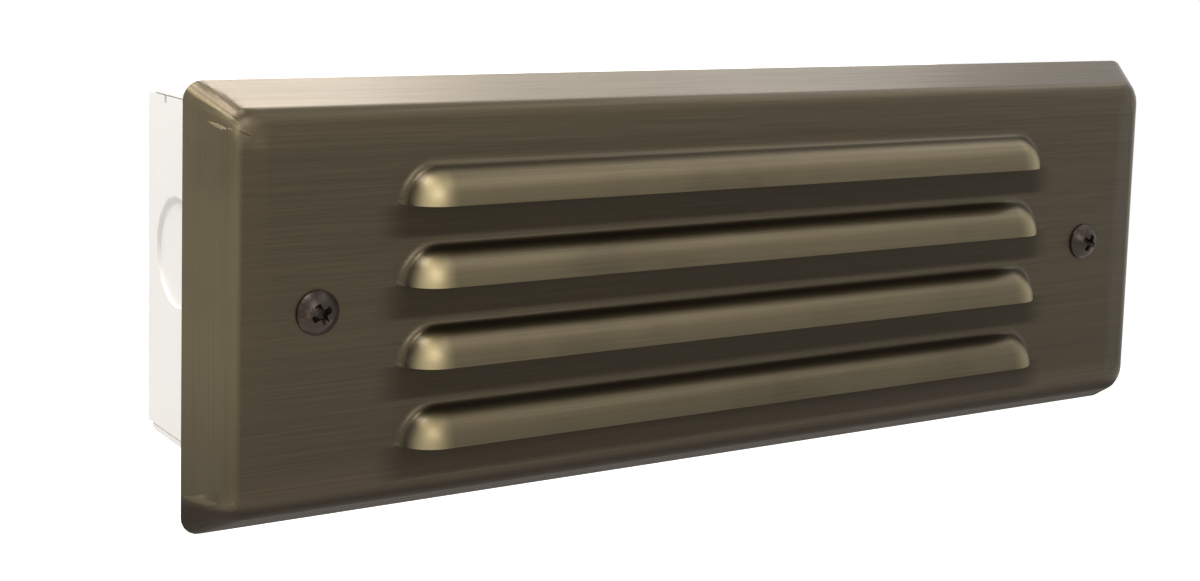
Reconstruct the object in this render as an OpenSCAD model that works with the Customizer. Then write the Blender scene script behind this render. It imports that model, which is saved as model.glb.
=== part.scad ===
// Recessed step light: a louvred brass faceplate over a painted steel back box.
// The origin is the centre of the faceplate's rim, in the plane of the wall.
// The front faces -Y, up is +Z, and all lengths are in millimetres.

/* [Faceplate] */
// Width of the faceplate
face_w = 235; // [232:0.5:260]
// Height of the faceplate
face_h = 82; // [81:0.5:90]
// Depth of the faceplate from the wall to its flat front
face_d = 10.5; // [10:0.5:14]
// Thickness of the brass sheet
face_t = 1.5; // [1:0.1:1.8]
// Radius of the rounded front edge
edge_r = 3.5; // [2:0.1:4.5]
// Slope of the side walls, in degrees from square
draft = 26; // [20:1:30]
// How much the rim's corners are rounder than the slope and front edge need
corner_more = 0.2; // [0.1:0.1:4]

/* [Louvres] */
// Number of louvres
louvre_count = 4; // [2:1:4]
// Height above and below that the louvres' steps leave free
louvre_margin = 11; // [9:0.1:12]
// Distance of the louvres' domed ends from the faceplate's sides
louvre_inset = 36.5; // [35.5:0.1:60]
// How far a hood stands out from the face
hood_out = 5.6; // [4.5:0.1:6]
// Outer radius of the hood's rounded section
hood_r = 7.4; // [6.6:0.1:8]
// Radius of the hollow where a hood leaves the face
hood_fillet = 2; // [1:0.1:2.5]
// Flat sheet left round a hood before the face goes on
hood_margin = 0.6; // [0.4:0.1:1]
// How far the louvres sit above the middle of the face
louvre_rise = 0.3; // [0:0.1:0.5]

/* [Cover screws] */
// Distance of the cover screws from the faceplate's sides
screw_inset = 21.3; // [20.5:0.1:22]
// Radius of the screw's shank
screw_r = 2.05; // [1.8:0.05:2.2]
// Length of the shank under the head
screw_l = 14; // [13:0.5:19]
// Radius of the head
head_r = 4.1; // [3.6:0.1:4.6]
// Height of the domed head
head_h = 2.6; // [2:0.1:3]
// Straight edge under the dome
head_edge = 0.5; // [0.3:0.1:0.8]
// Width of one arm of the cross recess
cross_w = 1.1; // [0.8:0.1:1.3]
// Span of the cross recess
cross_l = 4.6; // [4:0.1:5]
// Depth of the cross recess
cross_d = 1.8; // [1.2:0.1:2]
// Turn of the left screw's cross
left_turn = 28; // [0:1:90]
// Turn of the right screw's cross
right_turn = 62; // [0:1:90]
// Gap round a shank in the faceplate's hole
hole_gap = 0.3; // [0.2:0.05:0.5]
// Gap round a shank in its thread or washer
thread_gap = 0.05; // [0.02:0.01:0.08]
// Width of the retaining washer's ring
washer_w = 2.2; // [1.5:0.1:2.6]
// Thickness of the retaining washer
washer_t = 0.8; // [0.5:0.1:1.2]

/* [Lens] */
// Distance of the glass from the faceplate's sides
glass_side = 29.5; // [28.5:0.1:30.5]
// Distance of the glass from the faceplate's top and bottom
glass_top = 10; // [9.6:0.1:10.5]
// Thickness of the glass
glass_t = 3.2; // [2.5:0.1:4]
// Wall of the soft channel round the glass
channel_t = 1.4; // [1:0.1:1.6]
// How far the channel reaches over the glass
channel_grip = 3; // [2:0.1:3]
// Thickness of the clip tabs
clip_t = 0.8; // [0.6:0.1:1]
// Width of a clip tab
clip_w = 8; // [5:0.5:10]
// Length of a clip's foot on the faceplate
clip_foot = 5; // [4:0.5:5.5]
// How far a clip reaches over the channel
clip_grip = 2; // [1.5:0.1:2.2]
// Height of the clips above and below the middle
clip_z = 19; // [16:0.5:22]
// Thickness of the foam gasket
foam_t = 2; // [1.6:0.1:3]
// Width of the foam strip over and under the window
foam_w = 3; // [2.5:0.1:4]

/* [Back box] */
// Distance of the box's ends inside the faceplate's sides
box_side = 12.75; // [11.5:0.05:13.5]
// Distance of the box's top and bottom inside the faceplate's
box_top = 4.5; // [4:0.1:5]
// Depth of the back box behind the wall plane
box_d = 54; // [53.5:0.5:80]
// Thickness of the steel sheet
box_t = 1.2; // [0.9:0.1:1.4]
// Outer radius of the bends
bend_r = 2.4; // [2:0.1:3]
// Seam between the end plates and the bent edges
seam = 0.2; // [0.1:0.05:0.3]
// Height of the front flanges
flange_h = 7; // [6:0.1:7.5]
// Length of the ears that take the cover screws
ear_l = 24; // [22:0.5:25]
// Length of the thread collar behind an ear
collar_l = 2; // [1:0.1:3]
// Wall of the thread collar
collar_t = 1.4; // [1:0.1:1.8]
// Width of the notch in the seam
notch_w = 1.2; // [0.8:0.1:2]
// Depth of the notch in the seam
notch_h = 1.5; // [1:0.1:2]
// Distance of the notch behind the wall plane
notch_y = 44.5; // [40:0.5:47]
// Radius of the knockouts
knock_r = 11.1; // [10:0.1:12]
// Depth to which a knockout is pushed in
knock_in = 0.8; // [0.4:0.1:0.8]
// Distance of the knockouts behind the wall plane
knock_y = 38; // [37.5:0.5:39]
// Height of the knockouts above the middle
knock_z = 3.5; // [0:0.1:5]
// Distance of the back's fixing holes from the ends of the box
fixing_inset = 24.75; // [20:0.25:30]
// Radius of the fixing holes
fixing_r = 2.5; // [2:0.1:3]

/* [Reflector] */
// Inner radius of the trough
trough_r = 20; // [19.2:0.1:20.4]
// Thickness of the trough's sheet
trough_t = 0.8; // [0.5:0.1:1]
// Distance of the lamp's axis behind the wall plane
lamp_y = 18; // [17.5:0.1:18.4]
// Gap between the trough's edges and the box
trough_gap = 0.6; // [0.4:0.1:1]
// Depth of the trough's turned edges
trough_lip = 6; // [4:0.5:8]
// Distance of the posts from the ends of the box
post_inset = 44.75; // [40:0.25:48]
// Radius of the posts
post_r = 3; // [2.5:0.1:3.5]
// Radius of the screws in the posts
post_screw_r = 1.5; // [1.2:0.1:1.7]
// Length of the screws in the posts
post_screw_l = 8; // [6:0.5:12]
// Radius of a post screw's head
post_head_r = 2.9; // [2.6:0.1:3.2]
// Height of a post screw's head
post_head_h = 1.8; // [1.4:0.1:2.2]

/* [Lampholder] */
// How far the strap stands off the end plate
strap_out = 14; // [13:0.5:15]
// Thickness of the strap
strap_t = 1.2; // [1:0.1:1.5]
// Width of the strap
strap_w = 16; // [14:0.5:18]
// Height of the strap between its legs
strap_h = 26; // [24:0.5:28]
// Length of a strap's foot
strap_foot = 9; // [8:0.5:10]
// Radius of the rivets
rivet_r = 1.6; // [1.4:0.1:1.8]
// Radius of a rivet's head
rivet_head_r = 3; // [2.6:0.1:3.2]
// Height of a rivet's head
rivet_head_h = 1.2; // [1:0.1:1.5]
// Length of the porcelain behind the screw shell
holder_back = 13; // [12.5:0.5:15]
// Radius of the porcelain barrel
holder_r = 18.5; // [17.5:0.1:19]
// Radius of the porcelain neck
neck_r = 12; // [11:0.1:13]
// Length of the porcelain neck
neck_l = 7; // [6:0.5:8]
// Radius of the bead at the barrel's mouth
bead_r = 1.5; // [1:0.1:2]
// Depth of the screw shell from the mouth
shell_l = 29; // [28:0.5:30]
// Wall of the screw shell
shell_t = 0.5; // [0.4:0.1:0.7]
// Radius of the centre contact
contact_r = 4; // [3:0.1:5]
// Thickness of the centre contact
contact_t = 0.8; // [0.6:0.1:1]
// Radius of the hollow stem
stem_r = 5; // [4.8:0.1:5.5]
// Radius of the stem's bore
stem_bore_r = 3.4; // [3.3:0.1:3.6]
// Length of the stem in the porcelain
stem_in = 6; // [4:0.5:7]
// Length of the stem behind the strap
stem_out = 4.5; // [4:0.5:5]
// Distance across the flats of the nut
nut_flats = 14; // [13:0.5:15]
// Thickness of the nut
nut_t = 3; // [2:0.5:3.5]

/* [Lamp] */
// Radius of the lamp's tube
tube_r = 16; // [15:0.5:17]
// Room between the lamp's free end and the right end plate
tube_room = 38; // [36:0.5:48]
// Radius of the glass neck in the cap
tube_neck_r = 12; // [11:0.1:12.4]
// Thickness of the glass wall
tube_t = 0.8; // [0.6:0.1:1]
// Radius of the screw cap
cap_r = 13.2; // [12.8:0.1:13.4]
// Length of the straight screw cap
cap_l = 20; // [18:0.5:21]
// Wall of the screw cap
cap_t = 0.4; // [0.3:0.1:0.5]
// Gap between the cap and the screw shell
cap_gap = 0.1; // [0.05:0.01:0.2]
// Length of the insulator's taper
taper_l = 5; // [4:0.5:6]
// Radius of the solder contact
solder_r = 3.5; // [3:0.1:4.5]
// Height of the solder contact
solder_h = 1.2; // [1:0.1:1.5]
// Radius of the glass stem inside the lamp
mount_r = 4; // [3:0.5:5]
// Length of the glass stem inside the lamp
mount_l = 34; // [28:1:38]
// Radius of the support wires
support_r = 0.5; // [0.3:0.1:0.7]
// Room between the filament and the lamp's free end
filament_room = 36.5; // [24:0.5:42]
// Distance between the support wires
support_span = 14; // [10:1:16]
// Radius of the filament's coil
coil_r = 0.9; // [0.6:0.1:1.2]

/* [Leads] */
// Radius of a lead
lead_r = 1.4; // [1:0.1:1.6]
// Room between the leads' connectors and the middle
nut_room = 2; // [1.5:0.1:2.5]
// Radius of a wire connector's mouth
cap_nut_r = 5.4; // [5:0.1:6]
// Radius of a wire connector's closed end
cap_nut_tip_r = 3.6; // [3:0.1:4]
// Length of a wire connector
cap_nut_l = 22; // [18:0.5:24]
// Depth to which a lead enters its connector
cap_nut_in = 12; // [8:0.5:14]
// Place of the connectors' mouths from the middle
cap_nut_x = 12; // [8:0.5:20]
// Radius of the bonding screw's shank
bond_r = 1.9; // [1.6:0.1:2.1]
// Radius of the bonding screw's head
bond_head_r = 4.4; // [4:0.1:4.8]
// Place of the bonding screw from the middle
bond_x = 40; // [36:0.5:44]
// Distance of the bonding screw below the top of the box
bond_drop = 13; // [12:0.1:13.5]
// Height of the bonding screw's head
bond_head_h = 2.2; // [1.8:0.1:2.6]
// Thickness of the ring terminal
terminal_t = 0.8; // [0.6:0.1:1]
// Length of the ring terminal's barrel
barrel_l = 6; // [5:0.5:8]

/* [Hidden] */
$fn = 64;

// Overrun of every cut
over = 1;
// Sides that make a circle a hexagon
hexagon = 6;
// Small running gap between pieces that slip together
slip = 0.05;
// Overlap of a hood's round and hollow circles, which lets them cross cleanly
hood_blend = 0.01;
// How far round the pan's edge its wall reaches into it, in degrees
edge_lap = 6;

// The pan's edge: how far in its flat begins, and the corners of its rim
edge_in = (face_d - edge_r) * tan(draft) + edge_r / cos(draft);
corner_r = edge_in + corner_more;

// The hood's section, in height above its lip and distance out from the face
hood_centre = hood_out - hood_r;
hood_rise = hood_fillet - hood_centre;
hood_reach = sqrt(pow(hood_r + hood_fillet - hood_blend, 2) - pow(hood_rise, 2));
louvre_l = face_w - 2 * louvre_inset;
louvre_pitch = (face_h - 2 * louvre_margin) / louvre_count;
hood_straight = louvre_l - 2 * hood_reach;
lip_top = (louvre_count - 1) / 2 * louvre_pitch - hood_reach / 2 + louvre_rise;

// Sizes that follow from the faceplate's
screw_span = face_w - 2 * screw_inset;
glass_w = face_w - 2 * glass_side;
glass_h = face_h - 2 * glass_top;
box_w = face_w - 2 * box_side;
box_h = face_h - 2 * box_top;
fixing_span = box_w - 2 * fixing_inset;
post_span = box_w - 2 * post_inset;

// Layers from the faceplate inwards, as depths behind the wall plane
face_in = face_t - face_d;
channel_back = face_in + glass_t + 2 * channel_t;
box_front = channel_back + foam_t;
box_back = box_d;
back_in = box_back - box_t;
end_in = box_w / 2 - box_t;
end_h = box_h - 2 * (bend_r + seam);
ear_h = box_h - 2 * (flange_h + seam);

channel_w = glass_w + 2 * channel_t;
channel_h = glass_h + 2 * channel_t;
window_w = glass_w - 2 * channel_grip;
window_h = glass_h - 2 * channel_grip;
foam_in_h = box_h - 2 * flange_h;
foam_out_w = channel_w - 2 * (clip_grip + slip);
foam_in_w = box_w - 2 * ear_l;

// The lampholder and lamp along the box, from the left end plate
strap_x = strap_out - end_in;
holder_x = strap_x + strap_t;
holder_l = holder_back + shell_l;
mouth_x = holder_x + holder_l;
shell_x = mouth_x - shell_l;
shell_r = cap_r + cap_gap + shell_t;
contact_x = shell_x + shell_t + contact_t;
solder_x = contact_x + slip;
insulator_x = solder_x + solder_h;
cap_x = insulator_x + taper_l;
glass_x = cap_x + cap_l;
tube_end = end_in - tube_room;
shoulder_x = mouth_x + tube_r / 2;
support_l = tube_end - glass_x - tube_t - mount_l - filament_room;

trough_back = lamp_y + trough_r + trough_t;
trough_left = holder_x + slip;
trough_right = end_in - box_t;
trough_h = box_h / 2 - box_t - trough_gap;

// Leads: points chosen by hand, then smoothed
lead_side = stem_bore_r / 2;
lead_z = cap_nut_r + lead_r + nut_room;
lead_end = cap_nut_x + cap_nut_in;
lead_lane = (trough_back + back_in) / 2;
lead_turn = strap_x - stem_out;
lead_steps = 4;
lead_sides = 8;
bond_z = box_h / 2 - bond_drop;
bond_lane = back_in - cap_nut_r - slip;
bond_end = bond_x - bond_head_r - barrel_l;

// A part of a ring between two angles less than half a turn apart
module ring_sector(outer, inner, from, to) {
    far = 2 * outer;
    middle = (from + to) / 2;
    intersection() {
        difference() {
            circle(outer);
            circle(inner);
        }
        polygon([
            [0, 0],
            [far * cos(from), far * sin(from)],
            [far * cos(middle), far * sin(middle)],
            [far * cos(to), far * sin(to)]
        ]);
    }
}

// Turns what is drawn as seen from the front, with its height outwards, to face the front
module from_front() {
    rotate([90, 0, 0]) children();
}

// Carries a section, drawn in depth and height, along the width of the light
module along_x(length) {
    rotate([90, 0, 90]) linear_extrude(length, center = true) children();
}

// Turns a round piece, drawn upright, so that its axis runs along the width
module on_x(x, y, z) {
    translate([x, y, z]) rotate([0, 90, 0]) children();
}

// Turns a round piece, drawn upright, so that its axis runs into the wall
module on_y(x, y, z) {
    translate([x, y, z]) rotate([-90, 0, 0]) children();
}

// Section of the pan's edge, from the middle of a corner outwards: the sloping wall, whose
// end reaches a little into the rounded edge, that edge, and the flat sheet
module edge_section() {
    centre = [corner_r - edge_in, face_d - edge_r];
    inner_r = edge_r - face_t;
    way = [cos(draft), sin(draft)];
    lap = draft + edge_lap;
    polygon([
        [corner_r, 0],
        centre + edge_r * way,
        centre + (edge_r - face_t / 2) * [cos(lap), sin(lap)],
        centre + inner_r * way,
        [corner_r - face_t / cos(draft), 0]
    ]);
    translate(centre) ring_sector(edge_r, inner_r, draft, 90);
    translate([0, face_d - face_t]) square([centre[0], face_t]);
}

// Space under a hood's round top and hollow foot, from its lip up, above a base level.
// A wall makes the round smaller and the hollow larger, as on the sheet's inner side.
module hood_outline(wall, base) {
    knee = hood_centre + hood_rise * (hood_r - wall) / (hood_r + hood_fillet);
    difference() {
        union() {
            intersection() {
                translate([0, hood_centre]) circle(hood_r - wall);
                translate([0, base]) square([hood_r + over, hood_out + over - base]);
            }
            translate([0, base]) square([hood_reach, knee - base]);
        }
        translate([hood_reach, hood_fillet]) circle(hood_fillet + wall);
    }
}

// Section of one hood's sheet, from its lip up to the flat face
module hood_section() {
    difference() {
        hood_outline(0, -face_t);
        hood_outline(face_t, -face_t - over);
    }
    translate([hood_reach, -face_t]) square([hood_margin, face_t]);
}

// One hood with its two domed ends, its lip on the line y = 0
module hood() {
    rotate([90, 0, 90]) linear_extrude(hood_straight, center = true) hood_section();
    translate([hood_straight / 2, 0, 0]) rotate_extrude(angle = 90) hood_section();
    translate([-hood_straight / 2, 0, 0]) rotate([0, 0, 90]) rotate_extrude(angle = 90) hood_section();
}

// The piece of flat face that a hood takes the place of, a little inside the hood's own border
module hood_window() {
    reach = hood_reach + hood_margin / 2;
    translate([-hood_straight / 2, 0]) square([hood_straight, reach]);
    for (side = [-1, 1]) intersection() {
        translate([side * hood_straight / 2, 0]) circle(reach);
        translate([-louvre_l, 0]) square([2 * louvre_l, 2 * reach]);
    }
}

module pan() {
    inner_w = face_w - 2 * corner_r;
    inner_h = face_h - 2 * corner_r;
    for (turn = [0, 1, 2, 3]) {
        across = turn % 2 == 0;
        rotate([0, 0, 90 * turn]) {
            translate([0, (across ? inner_h : inner_w) / 2, 0])
                rotate([90, 0, 90])
                    linear_extrude(across ? inner_w : inner_h, center = true) edge_section();
            translate([(across ? inner_w : inner_h) / 2, (across ? inner_h : inner_w) / 2, 0])
                rotate_extrude(angle = 90) edge_section();
        }
    }
    flat_w = inner_w + corner_more;
    flat_h = inner_h + corner_more;
    translate([-flat_w / 2, -flat_h / 2, face_d - face_t]) cube([flat_w, flat_h, face_t]);
}

module faceplate() {
    color("#584d3c") from_front() {
        difference() {
            pan();
            for (i = [0 : louvre_count - 1])
                translate([0, lip_top - i * louvre_pitch, face_d - face_t - over])
                    linear_extrude(face_t + 2 * over) hood_window();
            for (side = [-1, 1])
                translate([side * screw_span / 2, 0, face_d - face_t - over])
                    cylinder(r = screw_r + hole_gap, h = face_t + 2 * over);
        }
        for (i = [0 : louvre_count - 1])
            translate([0, lip_top - i * louvre_pitch, face_d]) hood();
    }
}

// Domed head, from its flat underside upwards
module domed_head(radius, height, edge) {
    dome = height - edge;
    ball = (pow(radius, 2) + pow(dome, 2)) / (2 * dome);
    rotate_extrude() {
        square([radius, edge]);
        intersection() {
            translate([0, height - ball]) circle(ball);
            translate([0, edge]) square([radius, dome]);
        }
    }
}

// Cross recess, cut down from the top of a head
module cross_recess(height) {
    translate([0, 0, height - cross_d]) intersection() {
        for (turn = [0, 90])
            rotate([0, 0, turn]) translate([-cross_l / 2, -cross_w / 2, 0])
                cube([cross_l, cross_w, cross_d + over]);
        cylinder(r1 = cross_w, r2 = cross_l / 2, h = cross_d);
    }
}

module cover_screw(side, turn) {
    color("#3b3029") from_front() translate([side * screw_span / 2, 0, face_d]) {
        rotate([0, 0, turn]) difference() {
            domed_head(head_r, head_h, head_edge);
            cross_recess(head_h);
        }
        translate([0, 0, -screw_l]) cylinder(r = screw_r, h = screw_l);
    }
}

module left_cover_screw() { cover_screw(-1, left_turn); }
module right_cover_screw() { cover_screw(1, right_turn); }

module screw_washers() {
    color("#8a3b2c") for (side = [-1, 1]) on_y(side * screw_span / 2, face_in, 0) difference() {
        cylinder(r = screw_r + washer_w, h = washer_t);
        translate([0, 0, -over]) cylinder(r = screw_r + thread_gap, h = washer_t + 2 * over);
    }
}

// A flat upright panel, centred, from one depth behind the wall plane to another
module panel(width, height, from_y, to_y) {
    translate([-width / 2, from_y, -height / 2]) cube([width, to_y - from_y, height]);
}

module lens() {
    color("#dfe6e2") panel(glass_w, glass_h, face_in + channel_t, channel_back - channel_t);
}

module lens_channel() {
    color("#c9c6bd") difference() {
        panel(channel_w, channel_h, face_in, channel_back);
        panel(window_w, window_h, face_in - over, channel_back + over);
        panel(glass_w, glass_h, face_in + channel_t, channel_back - channel_t);
    }
}

module lens_clips() {
    reach = channel_back - face_in + clip_t;
    color("#b08d4a") for (side = [0, 1], z = [-clip_z, clip_z])
        mirror([side, 0, 0]) translate([channel_w / 2, face_in, z - clip_w / 2]) {
            cube([clip_t, reach, clip_w]);
            cube([clip_foot, clip_t, clip_w]);
            translate([-clip_grip, reach - clip_t, 0]) cube([clip_grip + clip_t, clip_t, clip_w]);
        }
}

module housing_gasket() {
    color("#2f2f31") difference() {
        panel(foam_out_w, foam_in_h + 2 * foam_w, channel_back, box_front);
        panel(foam_in_w, foam_in_h, channel_back - over, box_front + over);
    }
}

// Half of the wrap's section, in depth and height, from the front flange to the back
module wrap_section() {
    top = box_h / 2;
    translate([box_front, top - flange_h]) square([box_t, flange_h - bend_r]);
    translate([box_front + bend_r, top - bend_r]) ring_sector(bend_r, bend_r - box_t, 90, 180);
    translate([box_front + bend_r, top - box_t]) square([box_back - box_front - 2 * bend_r, box_t]);
    translate([box_back - bend_r, top - bend_r]) ring_sector(bend_r, bend_r - box_t, 0, 90);
    translate([back_in, 0]) square([box_t, top - bend_r]);
}

module housing_wrap() {
    run = box_back - box_front - 2 * bend_r;
    color("#f0eeea") difference() {
        union() {
            for (flip = [0, 1]) mirror([0, 0, flip]) {
                along_x(box_w - 2 * bend_r) wrap_section();
                for (side = [0, 1]) mirror([side, 0, 0])
                    translate([box_w / 2 - bend_r, box_back - bend_r, box_h / 2 - bend_r])
                        from_front() linear_extrude(run) ring_sector(bend_r, bend_r - box_t, 0, 90);
            }
            panel(box_w, end_h, back_in, box_back);
        }
        for (side = [-1, 1]) on_y(side * fixing_span / 2, back_in - over, 0)
            cylinder(r = fixing_r, h = box_t + 2 * over);
    }
}

// The right end plate: a wall with its knockout, and an ear turned in at the front
module end_plate() {
    collar_r = screw_r + thread_gap + collar_t;
    difference() {
        union() {
            translate([end_in, box_front + bend_r, -end_h / 2])
                cube([box_t, back_in - box_front - bend_r, end_h]);
            linear_extrude(ear_h, center = true) {
                translate([box_w / 2 - bend_r, box_front + bend_r])
                    ring_sector(bend_r, bend_r - box_t, 270, 360);
                translate([box_w / 2 - ear_l, box_front]) square([ear_l - bend_r, box_t]);
            }
            on_y(screw_span / 2, box_front, 0) cylinder(r = collar_r, h = box_t + collar_l);
            on_x(end_in - knock_in, knock_y, knock_z) cylinder(r = knock_r - slip, h = box_t);
        }
        on_y(screw_span / 2, box_front - over, 0)
            cylinder(r = screw_r + thread_gap, h = box_t + collar_l + 2 * over);
        on_x(box_w / 2 - knock_in, knock_y, knock_z) cylinder(r = knock_r, h = knock_in + over);
        translate([end_in - over, notch_y - notch_w / 2, end_h / 2 - notch_h])
            cube([box_t + 2 * over, notch_w, notch_h + over]);
    }
}

// Bores for the strap's rivets, on the left end plate only
module rivet_places() {
    for (z = [-1, 1]) on_x(-box_w / 2, lamp_y, z * (strap_h + strap_foot) / 2) children();
}

module housing_end_right() {
    color("#f0eeea") end_plate();
}

module housing_end_left() {
    color("#f0eeea") difference() {
        mirror([1, 0, 0]) end_plate();
        rivet_places() translate([0, 0, -over]) cylinder(r = rivet_r, h = box_t + 2 * over);
    }
}

module reflector() {
    length = trough_right - trough_left;
    color("#c8ccd0") difference() {
        translate([(trough_left + trough_right) / 2, lamp_y, 0])
            for (flip = [0, 1]) mirror([0, 0, flip]) along_x(length) {
                ring_sector(trough_r + trough_t, trough_r, 0, 90);
                translate([0, trough_r]) mirror([1, 0]) square([trough_t, trough_h - trough_r]);
                translate([-trough_lip, trough_h - trough_t]) square([trough_lip, trough_t]);
            }
        for (side = [-1, 1]) on_y(side * post_span / 2, trough_back - trough_t - over, 0)
            cylinder(r = post_screw_r + slip, h = trough_t + 2 * over);
    }
}

module reflector_standoffs() {
    color("#a9a9a5") for (side = [-1, 1]) on_y(side * post_span / 2, trough_back, 0) difference() {
        cylinder(r = post_r, h = back_in - trough_back);
        translate([0, 0, -over]) cylinder(r = post_screw_r + slip, h = post_screw_l + over);
    }
}

module reflector_screws() {
    seat = trough_r - sqrt(pow(trough_r, 2) - pow(post_head_r, 2));
    color("#b9b9b5") for (side = [-1, 1]) on_y(side * post_span / 2, trough_back - trough_t - seat, 0) {
        cylinder(r = post_screw_r, h = post_screw_l);
        mirror([0, 0, 1]) domed_head(post_head_r, post_head_h, head_edge);
    }
}

// The strap's section along the width and height: two feet, two legs and a bridge
module strap_section() {
    half = strap_h / 2;
    translate([-end_in, -half]) square([strap_out + strap_t, strap_t]);
    translate([-end_in, half - strap_t]) square([strap_out + strap_t, strap_t]);
    translate([strap_x, -half]) square([strap_t, strap_h]);
    translate([-end_in, half - strap_t]) square([strap_t, strap_foot + strap_t]);
    translate([-end_in, -half - strap_foot]) square([strap_t, strap_foot + strap_t]);
}

module socket_bracket() {
    color("#b4b6b4") difference() {
        translate([0, lamp_y + strap_w / 2, 0]) from_front() linear_extrude(strap_w) strap_section();
        on_x(strap_x - over, lamp_y, 0) cylinder(r = stem_r + slip, h = strap_t + 2 * over);
        rivet_places() cylinder(r = rivet_r, h = box_t + strap_t + over);
    }
}

module bracket_rivets() {
    color("#c4c4c0") rivet_places() {
        cylinder(r = rivet_r, h = box_t + strap_t);
        translate([0, 0, box_t + strap_t]) domed_head(rivet_head_r, rivet_head_h, head_edge);
    }
}

// Half section of the porcelain, from the strap along its axis
module holder_section() {
    bore = shell_r;
    difference() {
        union() {
            square([neck_r, neck_l]);
            polygon([
                [0, neck_l], [neck_r, neck_l], [holder_r - bead_r, neck_l + holder_r - neck_r],
                [holder_r - bead_r, holder_l], [0, holder_l]
            ]);
            translate([0, holder_l - 2 * bead_r]) square([holder_r - bead_r, 2 * bead_r]);
            translate([holder_r - bead_r, holder_l - bead_r]) circle(bead_r);
        }
        translate([0, holder_l - shell_l]) square([bore, shell_l + over]);
        translate([0, -over]) square([stem_r + slip, stem_in + over]);
        translate([0, -over]) square([stem_bore_r, holder_l]);
        translate([-2 * bead_r - holder_r, 0]) square([2 * bead_r + holder_r, holder_l]);
    }
}

module socket_body() {
    color("#eeeae0") on_x(holder_x, lamp_y, 0) rotate_extrude() holder_section();
}

module socket_shell() {
    color("#b8914c") on_x(shell_x, lamp_y, 0) difference() {
        cylinder(r = shell_r, h = shell_l - bead_r);
        translate([0, 0, shell_t]) cylinder(r = shell_r - shell_t, h = shell_l);
        translate([0, 0, -over]) cylinder(r = contact_r + shell_t, h = shell_t + 2 * over);
    }
}

module socket_contact() {
    color("#c29a50") on_x(shell_x, lamp_y, 0) {
        translate([0, 0, shell_t]) cylinder(r = contact_r, h = contact_t);
        cylinder(r = contact_r, h = shell_t);
    }
}

module socket_nipple() {
    color("#b0aa90") on_x(strap_x - stem_out, lamp_y, 0) difference() {
        cylinder(r = stem_r, h = stem_out + strap_t + stem_in);
        translate([0, 0, -over]) cylinder(r = stem_bore_r, h = stem_out + strap_t + stem_in + 2 * over);
    }
}

module socket_nut() {
    color("#b0aa90") on_x(strap_x - nut_t, lamp_y, 0) difference() {
        cylinder(r = nut_flats / 2 / cos(180 / hexagon), h = nut_t, $fn = hexagon);
        translate([0, 0, -over]) cylinder(r = stem_r + slip, h = nut_t + 2 * over);
    }
}

// Outline of the lamp's glass, grown or shrunk by a wall, from its neck along its axis
module tube_outline(wall) {
    neck = shoulder_x - glass_x;
    length = tube_end - glass_x;
    slope = tube_r - tube_neck_r;
    square([tube_neck_r - wall, neck]);
    polygon([
        [0, neck - slope], [tube_neck_r - wall, neck - slope], [tube_r - wall, neck + slope],
        [tube_r - wall, length - tube_r / 2], [0, length - tube_r / 2]
    ]);
    translate([0, length - tube_r / 2]) intersection() {
        scale_r = (pow(tube_r - wall, 2) + pow(tube_r / 2 - wall, 2)) / (tube_r - 2 * wall);
        translate([0, tube_r / 2 - wall - scale_r]) circle(scale_r);
        square([tube_r - wall, tube_r / 2 - wall]);
    }
}

module lamp_glass() {
    color("#e6ecea") on_x(glass_x, lamp_y, 0) rotate_extrude() difference() {
        tube_outline(0);
        difference() {
            tube_outline(tube_t);
            square([tube_r, tube_t]);
        }
    }
}

module lamp_base() {
    color("#c7a35a") on_x(cap_x, lamp_y, 0) difference() {
        cylinder(r = cap_r, h = cap_l + cap_t);
        translate([0, 0, cap_t]) cylinder(r = tube_neck_r + slip, h = cap_l + over);
    }
}

module lamp_insulator() {
    color("#1c1a1a") on_x(insulator_x, lamp_y, 0) cylinder(r1 = solder_r + solder_h, r2 = cap_r, h = taper_l);
}

module lamp_contact() {
    color("#a8a8a0") on_x(solder_x, lamp_y, 0) translate([0, 0, solder_h])
        mirror([0, 0, 1]) domed_head(solder_r, solder_h, head_edge);
}

module lamp_filament() {
    start = tube_t;
    color("#d9d6c8") on_x(glass_x + start, lamp_y, 0) {
        cylinder(r = mount_r, h = mount_l);
        for (side = [-1, 1]) translate([side * support_span / 2, 0, mount_l + support_r])
            cylinder(r = support_r, h = support_l);
        translate([-support_span / 2, 0, mount_l + support_r]) rotate([0, 90, 0])
            cylinder(r = support_r, h = support_span);
        translate([-support_span / 2, 0, mount_l + support_l]) rotate([0, 90, 0])
            cylinder(r = coil_r, h = support_span);
    }
}

// A point on a smooth curve through four route points, at a share of the way between the middle two
function between(a, b, c, d, share) =
    0.5 * (2 * b + (c - a) * share + (2 * a - 5 * b + 4 * c - d) * pow(share, 2)
        + (3 * b - a - 3 * c + d) * pow(share, 3));

// The smoothed route, with a few steps between each two of its points
function smooth(route, steps) = let (last = len(route) - 1) [
    for (i = [0 : last - 1], s = [0 : steps - 1])
        between(route[max(i - 1, 0)], route[i], route[i + 1], route[min(i + 2, last)], s / steps),
    route[last]
];

// Corners of the ring round one point of a route, square to the way the route runs there
function ring_round(points, i, radius, sides) =
    let (
        last = len(points) - 1,
        way = points[min(i + 1, last)] - points[max(i - 1, 0)],
        ahead = way / norm(way),
        side_way = cross(ahead, [0, 0, 1]),
        across = side_way / norm(side_way),
        up = cross(ahead, across)
    )
    [for (k = [0 : sides - 1])
        points[i] + radius * (cos(360 * k / sides) * across + sin(360 * k / sides) * up)];

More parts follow.
